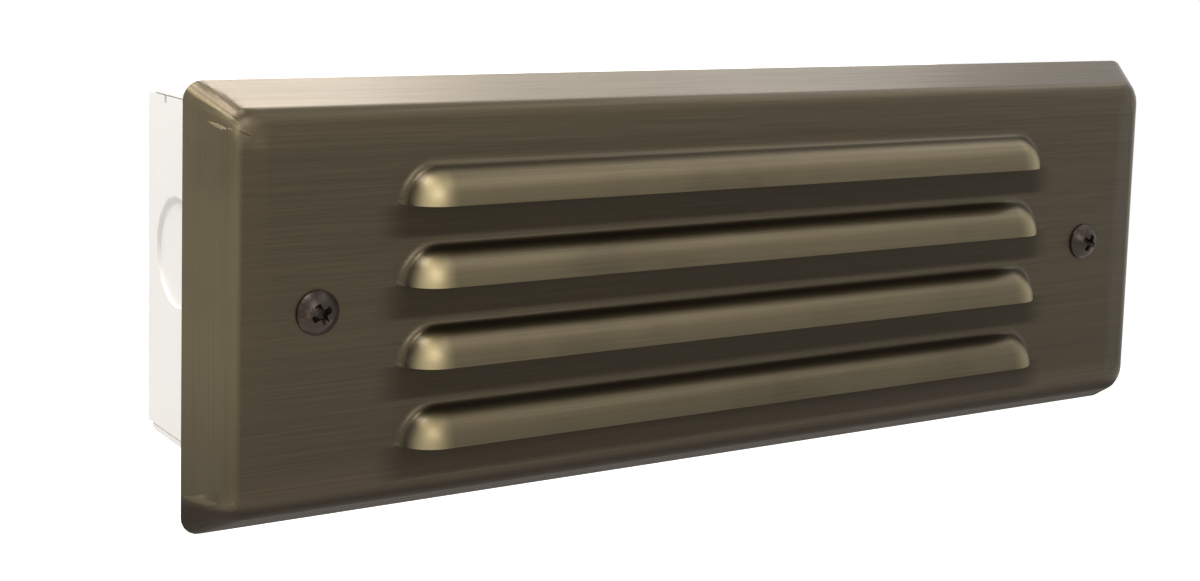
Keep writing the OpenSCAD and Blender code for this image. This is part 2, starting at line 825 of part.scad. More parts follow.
// A round lead swept along its route
module swept(route, radius, steps = lead_steps, sides = lead_sides) {
    points = smooth(route, steps);
    count = len(points);
    rings = [for (i = [0 : count - 1]) each ring_round(points, i, radius, sides)];
    walls = [
        for (i = [0 : count - 2], k = [0 : sides - 1])
            let (a = i * sides + k, b = i * sides + (k + 1) % sides)
            each [[a, a + sides, b + sides], [a, b + sides, b]]
    ];
    first = [for (k = [0 : sides - 1]) k];
    end = [for (k = [0 : sides - 1]) count * sides - 1 - k];
    polyhedron(points = rings, faces = concat(walls, [first], [end]));
}

// One lead, from inside the lampholder, round the end of the trough, to its connector
module lead(side) {
    swept([
        [holder_x + stem_in + lead_r, lamp_y, side * lead_side],
        [holder_x, lamp_y, side * lead_side],
        [lead_turn, lamp_y, side * lead_side],
        [lead_turn - lead_r, lamp_y + lead_r, side * lead_side],
        [lead_turn - 2 * lead_r, lamp_y + 5 * lead_r, side * 2 * lead_side],
        [lead_turn - 2 * lead_r, lamp_y + trough_r / 2, side * lead_z / 2],
        [lead_turn, lamp_y + trough_r, side * (lead_z - 3 * lead_r)],
        [lead_turn + 10 * lead_r, lead_lane - 2 * lead_r, side * lead_z],
        [-post_span / 2, lead_lane, side * lead_z],
        [-post_span / 4, lead_lane, side * lead_z],
        [cap_nut_x - 2 * lead_r, lead_lane, side * lead_z],
        [lead_end, lead_lane, side * lead_z]
    ], lead_r);
}

module lead_black() { color("#1d1d1f") lead(1); }
module lead_white() { color("#e9e7e0") lead(-1); }

// A twist-on connector, from its mouth along its axis, with a finger wing on each side
module cap_nut() {
    difference() {
        union() {
            cylinder(r1 = cap_nut_r, r2 = cap_nut_tip_r, h = cap_nut_l);
            translate([-cap_nut_r - lead_r, -lead_r / 2, cap_nut_l / 4])
                cube([2 * (cap_nut_r + lead_r), lead_r, cap_nut_l / 3]);
        }
        translate([0, 0, -over]) cylinder(r = lead_r + slip, h = cap_nut_in + over);
    }
}

module wire_nuts() {
    color("#c8702c") {
        for (side = [-1, 1]) on_x(cap_nut_x, lead_lane, side * lead_z) cap_nut();
        translate([bond_end - 2 * lead_r, bond_lane, bond_z]) rotate([0, -90, 0]) cap_nut();
    }
}

module ground_screw() {
    color("#3f7d4a") on_y(bond_x, back_in - terminal_t, bond_z) {
        mirror([0, 0, 1]) domed_head(bond_head_r, bond_head_h, head_edge);
        cylinder(r = bond_r, h = terminal_t);
    }
}

// The bonding lead, its ring terminal and the tongue that the lead is crimped on
module ground_lead() {
    seat_y = back_in - terminal_t;
    color("#3f7d4a") {
        swept([
            [bond_x - bond_head_r - lead_r / 4, seat_y - lead_r + slip, bond_z],
            [bond_x - bond_head_r - 2 * lead_r, seat_y - lead_r, bond_z],
            [bond_end, bond_lane, bond_z],
            [bond_end - 2 * lead_r, bond_lane, bond_z],
            [bond_end - 2 * lead_r - cap_nut_in, bond_lane, bond_z]
        ], lead_r);
        on_y(bond_x, seat_y, bond_z) difference() {
            union() {
                cylinder(r = bond_head_r, h = terminal_t);
                translate([-bond_head_r - 2 * lead_r, -lead_r, 0])
                    cube([bond_head_r + 2 * lead_r, 2 * lead_r, terminal_t]);
            }
            translate([0, 0, -over]) cylinder(r = bond_r + slip, h = terminal_t + 2 * over);
        }
    }
}

faceplate();
left_cover_screw();
right_cover_screw();
screw_washers();
lens();
lens_channel();
lens_clips();
housing_gasket();
housing_wrap();
housing_end_left();
housing_end_right();
reflector();
reflector_standoffs();
reflector_screws();
socket_bracket();
bracket_rivets();
socket_body();
socket_shell();
socket_contact();
socket_nipple();
socket_nut();
lamp_glass();
lamp_base();
lamp_insulator();
lamp_contact();
lamp_filament();
lead_black();
lead_white();
wire_nuts();
ground_screw();
ground_lead();
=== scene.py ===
"""Dresses a recessed step light: finishes, pressed corners, threads, filament, stage and camera."""

from math import cos, pi, radians, sin

import bmesh
import bpy
import numpy as np
from bpy.props import FloatProperty, FloatVectorProperty, IntProperty, PointerProperty
from bpy.types import Operator, Panel, PropertyGroup
from mathutils import Matrix, Vector


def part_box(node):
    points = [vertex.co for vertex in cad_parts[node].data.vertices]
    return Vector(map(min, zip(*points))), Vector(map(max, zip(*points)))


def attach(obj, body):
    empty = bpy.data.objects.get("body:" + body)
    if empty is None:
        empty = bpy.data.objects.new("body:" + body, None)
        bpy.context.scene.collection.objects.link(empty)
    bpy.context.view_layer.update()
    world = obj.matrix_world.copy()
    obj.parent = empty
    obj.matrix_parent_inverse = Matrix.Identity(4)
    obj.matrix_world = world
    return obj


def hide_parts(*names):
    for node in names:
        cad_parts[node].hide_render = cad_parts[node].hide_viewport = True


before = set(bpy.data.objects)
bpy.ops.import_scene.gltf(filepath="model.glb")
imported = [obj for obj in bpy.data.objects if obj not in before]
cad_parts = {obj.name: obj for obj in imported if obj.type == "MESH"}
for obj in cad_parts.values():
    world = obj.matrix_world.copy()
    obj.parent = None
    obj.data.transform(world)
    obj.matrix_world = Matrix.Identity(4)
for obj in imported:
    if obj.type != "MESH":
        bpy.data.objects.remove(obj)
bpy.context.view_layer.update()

bl_info = {
    "name": "Step Light Dressing",
    "version": (1, 0, 0),
    "blender": (4, 5, 0),
    "location": "View3D > Sidebar > Step Light",
    "description": "Gives a recessed step light its brushed bronze, enamel, threads, lamp and studio",
    "category": "Object",
}

MM = 0.001
SEEN_RAYS = ("Is Camera Ray", "Is Glossy Ray", "Is Transmission Ray")
WHITE = (1.0, 1.0, 1.0, 1.0)
PALE = (0.86, 0.86, 0.86, 1.0)
WARM = (1.0, 0.95, 0.90)
SENSOR_MM = 36
FLOOR_R = 3.0
FLOOR_SIDES = 96

# Distances in metres: points this close are one point, a plane this close to a point cuts through it, and
# a point this close to a line counts as on it
SAME_POINT = 1e-7
ON_PLANE = 1e-6
ON_LINE = 1e-9

# Edges sharper than these are shaded as edges
SHARP = radians(38)
PLATE_SHARP = radians(32)

# Planes that fan out in a corner of the plate: every 5 degrees, and every 2 in the middle
FAN = np.radians([*range(5, 30, 5), *range(30, 61, 2), *range(65, 90, 5)])

# The soft lights: place, the point that each looks at, and width and height, in metres
LAMPS = {
    "top": ((0.015, 0.43, 0.62), (-0.065, 0.0, 0.03), (0.53, 0.35)),
    "corner": ((-0.41, 0.04, 0.76), (-0.11, 0.0, 0.035), (0.60, 0.32)),
    "fill": ((0.49, 0.43, 0.62), (0.41, 0.0, 0.03), (0.42, 0.35)),
    "front": ((0.43, -0.26, 0.62), (0.0, 0.0, 0.0), (0.90, 0.35)),
    "key": ((-0.21, -0.60, 0.33), (-0.06, 0.0, 0.0), (0.34, 0.30)),
}

FACE_LOW, FACE_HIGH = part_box("faceplate")
BOX_LOW, BOX_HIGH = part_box("housing_wrap")
CAP_LOW, CAP_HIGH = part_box("lamp_base")
WIRE_LOW, WIRE_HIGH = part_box("lamp_filament")


def labels(text):
    """Name and description of a property, from one text with a colon between them."""
    name, description = text.split(": ")
    return {"name": name, "description": description}


def length(text, millimetres):
    """A length property with its default in millimetres."""
    return FloatProperty(**labels(text), default=millimetres * MM, precision=5, unit="LENGTH")


def turn_of(text, degrees):
    """An angle property with its default in degrees."""
    return FloatProperty(**labels(text), default=radians(degrees), subtype="ANGLE")


def share(text, part):
    """A share property, from 0 for none to 1 for all."""
    return FloatProperty(**labels(text), default=part, min=0, max=1)


def watts(text, power):
    """A property for the power of a light in watts."""
    return FloatProperty(**labels(text), default=power, min=0)


def colour(text, red, green, blue):
    """A colour property in linear light."""
    return FloatVectorProperty(**labels(text), default=(red, green, blue), size=3, min=0, max=1,
                               subtype="COLOR")


class StepLightSizes(PropertyGroup):
    """Sizes of the details that the frame leaves to this script."""

    hood_out: length("Hood height: how far the louvre hoods stand out from the face", 5.6)
    louvre_pitch: length("Louvre pitch: distance from one louvre to the next", 15.0)
    louvre_top: length("Top lip: height of the top louvre's lip", 18.5)
    hood_reach: length("Hood reach: height of a hood from its lip to the face", 8.6)
    louvre_l: length("Louvre length: length of a louvre with its domed ends", 162)
    edge_in: length("Edge: distance from the rim to the flat face", 7.3)
    corner_r: length("Corner radius: radius of the frame's swept corners at the rim", 7.51)
    rim_r: length("Rim radius: radius of the plate's corners at the rim", 3.5)
    face_r: length("Face radius: radius of the flat face's corners", 5.5)
    corner_reach: length("Corner reach: how far past a swept corner the plate is reshaped", 6.0)
    edge_soft: length("Edge softness: width of the band in which the face begins to roll over", 5.0)
    edge_roll: length("Edge roll: how far the face falls in that band", 1.1)
    head_h: length("Head height: height of a cover screw's domed head", 2.6)
    head_edge: length("Head edge: straight edge under the dome of a head", 0.5)
    shank_r: length("Shank radius: radius of a cover screw over its thread", 2.05)
    screw_pitch: length("Screw pitch: distance between the turns of a cover screw's thread", 0.79)
    screw_depth: length("Screw depth: depth of a cover screw's thread", 0.42)
    cross_w: length("Recess width: width of one arm of the cross recess", 1.1)
    cross_l: length("Recess span: span of the cross recess", 4.6)
    cross_d: length("Recess depth: depth of the cross recess", 1.8)
    cap_pitch: length("Cap pitch: distance between the turns of the lamp cap's thread", 3.63)
    cap_depth: length("Cap depth: depth of the lamp cap's rolled thread", 0.7)
    cap_wall: length("Cap wall: thickness of the lamp cap", 0.4)
    neck_r: length("Neck radius: radius of the lamp's glass neck in its cap", 12.0)
    wire_r: length("Wire radius: radius of the wires that hold the filament", 0.35)
    coil_r: length("Coil radius: radius of the filament's coil", 0.75)
    coil_wire_r: length("Filament radius: radius of the filament's own wire", 0.09)
    coil_turns: IntProperty(**labels("Coil turns: turns in the filament's coil"), default=26, min=4, max=60)
    left_turn: turn_of("Left cross: turn of the left screw's cross", 28)
    right_turn: turn_of("Right cross: turn of the right screw's cross", 62)


class StepLightFinish(PropertyGroup):
    """Colours of the finishes, in linear light, and how far each kind of wear, painted highlight and painted
    shade goes.
    """

    bronze: colour("Bronze: the dark brown of the patinated brass", 0.076, 0.059, 0.033)
    bronze_dark: colour("Bronze streaks: the darkest brush lines", 0.048, 0.037, 0.020)
    # Brighter brass for the real wear on the hoods and for the painted highlights on domes, upper slopes and
    # end walls
    worn_and_lit_brass: colour("Worn bronze: brass that shows where the face is rubbed", 0.42, 0.35, 0.19)
    # Painted shade: the dark colour put into the hollows under the hood lips, where the hoods shade the face
    patina: colour("Patina: the dark film in the hollows over the hoods", 0.014, 0.011, 0.008)
    # Painted shade: a dull dark colour along the lower edge, and over the face from the middle down
    grime: colour("Grime: the dull film along the lower edge", 0.030, 0.024, 0.017)
    screw: colour("Screw: the oxidised cover screws", 0.034, 0.026, 0.020)
    screw_worn: colour("Worn screw: rubbed edges of the cover screws", 0.115, 0.084, 0.057)
    paint: colour("Enamel: the baked white paint of the back box", 0.84, 0.835, 0.815)
    paint_thin: colour("Thin enamel: the paint's warmer shade in its thin places", 0.79, 0.77, 0.72)
    # Rubbed brass and a painted highlight on the domed ends of the hoods
    dome_wear_and_highlight: share("Worn domes: how far the rounded ends of the hoods are rubbed", 0.75)
    hood_worn: share("Worn hoods: how far the hoods are rubbed all over", 0.12)
    # Painted highlight on the upper slopes of the hoods, which face the light above
    shoulder_highlight: share("Worn shoulders: how far the upper slopes of the hoods are rubbed", 0.45)
    # Painted highlight on the left and right walls, with more of it from the middle up
    end_highlight: share("Worn ends: how far the edges at the left and right are rubbed", 0.08)
    end_top_highlight: share("Worn upper ends: how much more they are rubbed from the middle up", 0.11)
    # How far the painted shade covers the hollows over the hoods
    hollow_shade_share: share("Patina depth: how far the patina covers the hollows", 0.6)
    # How far the painted shade covers the lower edge, and the face from the middle down
    bottom_shade_share: share("Grime depth: how far the grime covers the lower edge", 0.68)
    lower_half_shade_share: share("Lower grime: how far it covers the lower half of the face as well", 0.28)


class StepLightView(PropertyGroup):
    """Place of the camera and strength of the studio lights."""

    place: FloatVectorProperty(**labels("Camera: place of the camera"), subtype="TRANSLATION",
                               unit="LENGTH", size=3, default=(-0.23345, -0.3169, 0.07075))
    yaw: turn_of("Yaw: turn of the camera from the wall's normal towards the right", 32.58)
    pitch: turn_of("Pitch: tilt of the camera above the level", -6.29)
    roll: turn_of("Roll: roll of the camera", 1.67)
    lens: FloatProperty(**labels("Lens: focal length of the camera in millimetres"), default=56.94)
    shift: FloatProperty(**labels("Shift: vertical shift of the lens"), default=-0.13375)
    ambient: share("Ambient: strength of the light from all round", 0.47)
    floor_drop: length("Floor drop: distance of the floor below the light", 260)
    floor_glow: share("Floor glow: light that the camera, reflections and glass see in the floor", 0.25)
    floor_lift: share("Floor lift: more of it for the camera alone", 0.35)
    top_power: watts("Top light: power of the light above and behind, in watts", 5.0)
    corner_power: watts("Corner light: power of the light at the upper left, in watts", 6.4)
    fill_power: watts("Fill: power of the light right of the top light, in watts", 1.35)
    front_power: watts("Front light: power of the light above and in front, in watts", 1.25)
    key_power: watts("Key light: power of the light behind the camera, in watts", 1.4)


class Value:
    """A shader socket that stands in sums with numbers and other sockets: each operator adds a Math node."""

    def __init__(self, graph, socket):
        self.graph = graph
        self.socket = socket

    def maths(self, operation, first, second):
        return self.graph.add("ShaderNodeMath", {"operation": operation}, {0: first, 1: second})

    def __add__(self, other):
        return self.maths("ADD", self, other)

    def __sub__(self, other):
        return self.maths("SUBTRACT", self, other)

    def __rsub__(self, other):
        return self.maths("SUBTRACT", other, self)

    def __mul__(self, other):
        return self.maths("MULTIPLY", self, other)

    def __truediv__(self, other):
        return self.maths("DIVIDE", self, other)

    def __pow__(self, other):
        return self.maths("POWER", self, other)

    def __abs__(self):
        return self.graph.add("ShaderNodeMath", {"operation": "ABSOLUTE"}, {0: self})

    __radd__ = __add__
    __rmul__ = __mul__


class Graph:
    """The nodes of one material, or of the world where it is given."""

    def __init__(self, name, world=None):
        self.block = world or bpy.data.materials.new(name)
        self.block.use_nodes = True
        self.tree = self.block.node_tree
        self.tree.nodes.clear()
        self.place = self.add("ShaderNodeTexCoord", out="Object")
        self.x, self.y, self.z = self.parts("ShaderNodeSeparateXYZ", "XYZ", {0: self.place})

    def add(self, kind, settings=None, inputs=None, out=0):
        """Adds a node of a kind, sets its settings, then fills its sockets, and gives one output."""
        node = self.tree.nodes.new(kind)
        for name, value in (settings or {}).items():
            setattr(node, name, value)
        for name, value in (inputs or {}).items():
            if isinstance(value, Value):
                self.tree.links.new(value.socket, node.inputs[name])
            elif value is not None:
                node.inputs[name].default_value = value
        return None if out is None else Value(self, node.outputs[out])

    def parts(self, kind, names, inputs=None):
        """Several named outputs of one new node."""
        outputs = self.add(kind, {}, inputs).socket.node.outputs
        return [Value(self, outputs[name]) for name in names]

    def seen(self):
        """1 on camera rays, and 1 on camera, glossy and transmission rays."""
        camera, *others = self.parts("ShaderNodeLightPath", SEEN_RAYS)
        total = camera
        for ray in others:
            total = self.add("ShaderNodeMath", {"operation": "MAXIMUM"}, {0: total, 1: ray})
        return camera, total

    def step(self, value, low, high):
        """0 below low, 1 above high, and a smooth rise between."""
        return self.add("ShaderNodeMapRange", {"interpolation_type": "SMOOTHSTEP"},
                        {"Value": value, "From Min": low, "From Max": high})

    def mix(self, share, first, second):
        """The first colour at share 0 and the second at share 1."""
        shades = [(*shade, 1.0) if isinstance(shade, tuple) else shade for shade in (first, second)]
        return self.add("ShaderNodeMix", {"data_type": "RGBA", "clamp_factor": True},
                        {"Factor": share, 6: shades[0], 7: shades[1]}, out=2)

    def vector(self, x, y, z):
        return self.add("ShaderNodeCombineXYZ", {}, {"X": x, "Y": y, "Z": z})

    def noise(self, vector, scale, detail=2.0, roughness=0.5):
        """Noise from 0 to 1 with its middle at 0.5; scale is in waves a metre."""
        return self.add("ShaderNodeTexNoise", {}, {"Vector": vector, "Scale": scale, "Detail": detail,
                                                  "Roughness": roughness})

    def beyond(self, value):
        """The value where it is above zero, and zero elsewhere."""
        return self.add("ShaderNodeMath", {"operation": "MAXIMUM"}, {0: value, 1: 0.0})

    def bump(self, height, distance, strength=1.0, normal=None):
        """A normal bent by a height from 0 to 1 over a distance in metres, on top of another bent normal."""
        return self.add("ShaderNodeBump", {}, {"Height": height, "Distance": distance, "Strength": strength,
                                               "Normal": normal})

    def shader(self, **inputs):
        """A Principled shader; underscores in the names stand for spaces."""
        named = {name.replace("_", " "): (*value, 1.0) if isinstance(value, tuple) else value
                 for name, value in inputs.items()}
        return self.add("ShaderNodeBsdfPrincipled", {}, named)

    def close(self, shader, kind="ShaderNodeOutputMaterial"):
        """Ends the graph in a shader."""
        self.add(kind, {}, {"Surface": shader}, out=None)
        return self.block

    def finish(self, **inputs):
        """Ends the graph in a Principled shader."""
        return self.close(self.shader(**inputs))


def streaks(graph, along, fine, turned=0.0):
    """Brush lines: noise drawn out along the width by a length, and along the height where turned is 1."""
    sway_y, sway_z = 0.4 * MM, 0.8 * MM
    wave = graph.noise(graph.place, scale=22.0, detail=1.0) - 0.5
    x, y, z = (graph.x, graph.y + wave * sway_y, graph.z + wave * sway_z)
    drawn = {"scale": 1.0, "detail": 3.0, "roughness": 0.62}
    level = graph.noise(graph.vector(x / along, y / fine, z / fine), **drawn)
    if isinstance(turned, Value):
        upright = graph.noise(graph.vector(x / fine, y / fine, z / along), **drawn)
        level = level * (1 - turned) + upright * turned
    return level


def hood_masks(graph, sizes, width):
    """Masks of the louvres, each from 0 to 1.

    Proud is where the sheet stands out in a hood, dome is a hood's rounded ends, less at the right, where
    rubbed brass and a painted highlight go, gap is the hollow between a hood and the lip over it, where
    painted shade goes, and shoulder is the upper slope of a hood, where a painted highlight goes. Turn is the
    height over the lip below
    as a share of the pitch: 0 at a lip, and foot where its hood meets the face."""
    half = sizes.louvre_l / 2
    front = FACE_LOW.y + sizes.hood_out
    skin, crown, hollow = 1.5 * MM, 1.0 * MM, 3.0 * MM
    dome_in, dome_out = sizes.hood_reach + 2 * MM, 5 * MM
    gap_in, gap_out = 3 * MM, 5 * MM
    lip_fade = 1 * MM
    # The painted highlight on the domes is weaker at the right, away from the light
    less_lit_right = 0.4
    whole_turns = 8.0
    foot = sizes.hood_reach / sizes.louvre_pitch
    gap_start, gap_full = foot - 0.03, foot + 0.05
    slope_start, slope_full = foot - 0.24, foot - 0.14
    slope_fade, slope_end = foot - 0.04, foot + 0.02
    proud = graph.step(graph.y, front - skin, FACE_LOW.y + crown)
    dome = (proud * graph.step(width, half - dome_in, half - dome_out)
            * (1.0 - less_lit_right * graph.step(graph.x, 0.0, half)))
    height = (graph.z - sizes.louvre_top) / sizes.louvre_pitch + whole_turns
    turn = graph.add("ShaderNodeMath", {"operation": "FRACT"}, {0: height})
    # Gap: where the painted shade goes under each hood lip
    gap = (graph.step(turn, gap_start, gap_full) * graph.step(graph.y, front - hollow, front - skin)
           * graph.step(width, half + gap_out, half - gap_in)
           * graph.step(graph.z, sizes.louvre_top + lip_fade, sizes.louvre_top - lip_fade))
    # Where the painted highlight goes on the upper slope of each hood
    shoulder = proud * graph.step(turn, slope_start, slope_full) * graph.step(turn, slope_end, slope_fade)
    return proud, dome, gap, shoulder


def rolled_edge(graph, sizes, to_side, to_top):
    """Height of the face from 0 to 1: it falls in a smooth step over a band beside the edge, whose inner line
    is a rounded rectangle."""
    reach = sizes.edge_in + sizes.edge_soft
    fall_end = sizes.edge_in - 0.4 * sizes.edge_soft
    inward = graph.beyond(reach - to_side) ** 2 + graph.beyond(reach - to_top) ** 2
    return graph.step(reach - inward ** 0.5, fall_end, reach)


def bronze_material(finish, sizes):
    """Brushed and darkened brass under lacquer: fine brush lines that turn with the sheet at its ends, rubbed
    brass on the hoods, painted shade in the hollows over them, rubbed brass and a painted highlight on their
    domed ends, painted highlights on their upper slopes and on the end walls, and a dull painted shade along
    the lower edge and from the middle of the face down."""
    graph = Graph("brushed_bronze")
    width, height = abs(graph.x), abs(graph.z)
    to_side, to_top = FACE_HIGH.x - width, FACE_HIGH.z - height
    end_fade, mitre_fade = 1.5 * MM, 0.4 * MM
    shade_over, shade_under = 0.6 * MM, 1.6 * MM
    fine_share = 0.6
    end = (graph.step(to_side, sizes.edge_in, sizes.edge_in - end_fade)
           * graph.step(to_top - to_side, -mitre_fade, mitre_fade))
    fine = streaks(graph, along=22 * MM, fine=0.11 * MM, turned=end)
    broad = streaks(graph, along=60 * MM, fine=0.5 * MM, turned=end)
    cloud = graph.noise(graph.place, scale=34.0, detail=3.0)
    lines = graph.step(fine * fine_share + broad * (1 - fine_share), low=0.30, high=0.70)
    proud, dome, gap, shoulder = hood_masks(graph, sizes, width)
    rise = graph.z + FACE_HIGH.z
    # Painted shade: darker and duller along the lower edge, and growing from the middle of the face down
    low = (finish.bottom_shade_share * graph.step(rise, sizes.edge_in + shade_over, sizes.edge_in - shade_under)
           + finish.lower_half_shade_share * graph.step(rise, FACE_HIGH.z, sizes.edge_in))
    # Painted highlight on the left and right walls, stronger from the middle up
    lightened = end * (finish.end_highlight + finish.end_top_highlight * graph.step(graph.z, -FACE_HIGH.z, 0.0))
    # Real wear on the hoods, plus the painted highlights on domes, upper slopes and end walls
    wear_and_highlight = dome * finish.dome_wear_and_highlight + proud * finish.hood_worn + shoulder * finish.shoulder_highlight + lightened
    wear_and_highlight = wear_and_highlight * graph.step(cloud, low=0.10, high=0.55)
    shade = graph.mix(lines, tuple(finish.bronze_dark), tuple(finish.bronze))
    shade = graph.mix(wear_and_highlight, shade, tuple(finish.worn_and_lit_brass))
    # Painted shade in the hollows over the hoods
    shade = graph.mix(gap * finish.hollow_shade_share, shade, tuple(finish.patina))
    rough = 0.38 - 0.06 * lines + 0.08 * cloud + 0.12 * dome
    bent = graph.bump(rolled_edge(graph, sizes, to_side, to_top), distance=sizes.edge_roll)
    bent = graph.bump(fine, distance=0.02 * MM, strength=0.4, normal=bent)
    sheet = graph.shader(Base_Color=shade, Metallic=0.92, Roughness=rough, Normal=bent,
                         Coat_Weight=0.3 - 0.2 * gap, Coat_Roughness=0.25)
    # A dull dark sheet that paints the shade on the lower edge
    grime = graph.shader(Base_Color=tuple(finish.grime), Roughness=0.85, Specular_IOR_Level=0.1)
    return graph.close(graph.add("ShaderNodeMixShader", {}, {0: low, 1: sheet, 2: grime}))


def screw_material(finish):
    """Oxidised steel with brown rubbed spots and a fine grain."""
    graph = Graph("oxidised_screw")
    lightened = 0.55
    cloud = graph.noise(graph.place, scale=520.0, detail=4.0)
    grain = graph.noise(graph.place, scale=2600.0, detail=2.0)
    spots = graph.step(cloud, low=0.52, high=0.72) * lightened
    shade = graph.mix(spots, tuple(finish.screw), tuple(finish.screw_worn))
    bent = graph.bump(grain * 0.6 + cloud * 0.4, distance=0.04 * MM, strength=0.5)
    return graph.finish(Base_Color=shade, Metallic=0.75, Roughness=0.26 + 0.16 * cloud, Normal=bent)


def paint_material(finish):
    """Baked white enamel: faint orange peel, warmer in cloudy thin places and towards the lower edge."""
    graph = Graph("baked_enamel")
    edge_tint_low, edge_tint_high = 2 * MM, 9 * MM
    thin_share = 0.35
    peel = graph.noise(graph.place, scale=900.0, detail=2.0)
    cloud = graph.noise(graph.place, scale=26.0, detail=3.0)
    # Warmer and a little darker towards the lower edge
    low = graph.step(graph.z, BOX_LOW.z + edge_tint_low, BOX_LOW.z + edge_tint_high)
    thin = graph.step(cloud, low=0.45, high=0.75) * thin_share + thin_share * (1 - low)
    shade = graph.mix(thin, tuple(finish.paint), tuple(finish.paint_thin))
    return graph.finish(Base_Color=shade, Roughness=0.36 + 0.08 * cloud, Specular_IOR_Level=0.5,
                        Normal=graph.bump(peel, distance=0.06 * MM, strength=0.35))


def metal_material(name, dark, light, rough):
    """Plain metal with lines drawn along the width and a little cloudiness."""
    graph = Graph(name)
    lines = streaks(graph, along=14 * MM, fine=0.2 * MM)
    cloud = graph.noise(graph.place, scale=120.0, detail=3.0)
    shade = graph.mix(lines * 0.7 + cloud * 0.3, dark, light)
    return graph.finish(Base_Color=shade, Metallic=1.0, Roughness=rough + 0.12 * cloud,
                        Normal=graph.bump(lines, distance=0.02 * MM, strength=0.4))


def moulded_material(name, dark, light, rough, grain=1400.0, depth=0.04 * MM, pores=0.0):
    """Plastic, rubber, fibre, foam or glaze: a cloudy colour and a fine skin, with open pores where asked."""
    graph = Graph(name)
    cloud = graph.noise(graph.place, scale=90.0, detail=3.0)
    skin = graph.noise(graph.place, scale=grain, detail=2.0)
    level = graph.step(skin, low=0.38, high=0.62) if pores else skin
    shade = graph.mix(cloud * (1 - pores) + level * pores, dark, light)
    return graph.finish(Base_Color=shade, Roughness=rough + 0.1 * cloud,
                        Normal=graph.bump(level, distance=depth, strength=0.5))


def glass_material(name, tint, rough, frost=0.0):
    """Clear or frosted glass with faint ripples in its surface."""
    graph = Graph(name)
    clear = (0.97, 0.98, 0.97)
    ripple = graph.noise(graph.place, scale=60.0, detail=2.0)
    speck = graph.noise(graph.place, scale=3200.0, detail=2.0)
    bent = graph.bump(speck * frost + ripple * (1 - frost), distance=0.05 * MM, strength=0.3)
    return graph.finish(Base_Color=graph.mix(ripple * 0.4, tint, clear), Roughness=rough + frost * speck,
                        Normal=bent, Transmission_Weight=0.9, IOR=1.46)


def dress(material, *nodes):
    """Gives a material to every slot of the named CAD nodes."""
    for node in nodes:
        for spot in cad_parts[node].material_slots:
            spot.material = material


def surface(name, points, material, body, replaced=None):
    """A closed surface from a grid of points: its columns run round, its rows run from pole to pole."""
    rows, columns, _ = points.shape
    index = np.arange(rows * columns).reshape(rows, columns)
    ahead = np.roll(index, -1, axis=1)
    quads = np.stack([index[:-1], index[1:], ahead[1:], ahead[:-1]], axis=-1).reshape(-1, 4)
    mesh = bpy.data.meshes.new(name)
    mesh.from_pydata(points.reshape(-1, 3), [], quads)
    grid = bmesh.new()
    grid.from_mesh(mesh)
    bmesh.ops.remove_doubles(grid, verts=grid.verts, dist=SAME_POINT)
    bmesh.ops.recalc_face_normals(grid, faces=grid.faces)
    grid.to_mesh(mesh)
    grid.free()
    mesh.shade_smooth()
    mesh.set_sharp_from_angle(angle=SHARP)
    mesh.materials.append(material)
    piece = bpy.data.objects.new(name, mesh)
    bpy.context.scene.collection.objects.link(piece)
    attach(piece, body)
    if replaced:
        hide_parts(replaced)
    return piece


def corner_spots(sizes):
    """The spot inside each of the plate's corners from which the corner's points are seen."""
    in_x = FACE_HIGH.x - sizes.corner_r - sizes.corner_reach
    in_z = FACE_HIGH.z - sizes.corner_r - sizes.corner_reach
    return [Vector((x * in_x, 0.0, z * in_z)) for x in (-1, 1) for z in (-1, 1)]


def straight_cuts(grid, spots):
    """Cuts the whole plate by the upright and level planes through its spots."""
    for spot in (spots[0], spots[-1]):
        for way in ((1, 0, 0), (0, 0, 1)):
            whole = [*grid.verts, *grid.edges, *grid.faces]
            bmesh.ops.bisect_plane(grid, geom=whole, dist=ON_PLANE, plane_co=spot, plane_no=way)


def corner_cuts(grid, spot):
    """Cuts the faces beyond a spot inside one corner by planes that fan out from it."""
    side_x, side_z = np.sign(spot.x), np.sign(spot.z)
    faces = []
    for face in grid.faces:
        past = face.calc_center_median() - spot
        if side_x * past.x > 0 and side_z * past.z > 0:
            faces.append(face)
    verts = dict.fromkeys(vert for face in faces for vert in face.verts)
    edges = dict.fromkeys(edge for face in faces for edge in face.edges)
    part = [*verts, *edges, *faces]
    for angle in FAN:
        way = (-side_x * sin(angle), 0, side_z * cos(angle))
        part = bmesh.ops.bisect_plane(grid, geom=part, dist=ON_PLANE, plane_co=spot, plane_no=way)["geom"]


def tighter_corners(points, sizes):
    """Slides points in the plane of the wall until the plate's swept corners are pressed tighter.

    A point's inset is its distance from the frame's rim. Seen from a spot inside the corner, the point moves
    along its ray to the rounded square of the same inset, whose corner radius grows from rim_r at the rim to
    face_r at the flat face, and is never more than the square's own half side."""
    flat = points[:, [0, 2]]
    half = np.array([FACE_HIGH.x, FACE_HIGH.z])
    out = np.abs(flat) - (half - sizes.corner_r)
    swept = np.all(out > 0, axis=1)
    inset = np.where(swept, sizes.corner_r - np.hypot(*out.T), np.min(half - np.abs(flat), axis=1))
    ray = out + sizes.corner_reach
    near = np.all(ray > ON_LINE, axis=1)[:, None]
    ray = np.where(near, ray, 1.0)
    square = np.maximum(sizes.corner_r + sizes.corner_reach - inset, 0)
    inwards = np.clip(inset / sizes.edge_in, 0, 1)
    round_r = np.minimum(sizes.rim_r + (sizes.face_r - sizes.rim_r) * inwards, square)
    start = square - round_r
    way = ray / np.linalg.norm(ray, axis=1)[:, None]
    along = start * way.sum(axis=1)
    arc = along + np.sqrt(np.maximum(along ** 2 - 2 * start ** 2 + round_r ** 2, 0))
    straight = square / way.max(axis=1)
    new = way * np.where(way.min(axis=1) * straight <= start, straight, arc)[:, None]
    moved = np.sign(flat) * (half - sizes.corner_r - sizes.corner_reach + new)
    points[:, [0, 2]] = np.where(near, moved, flat)


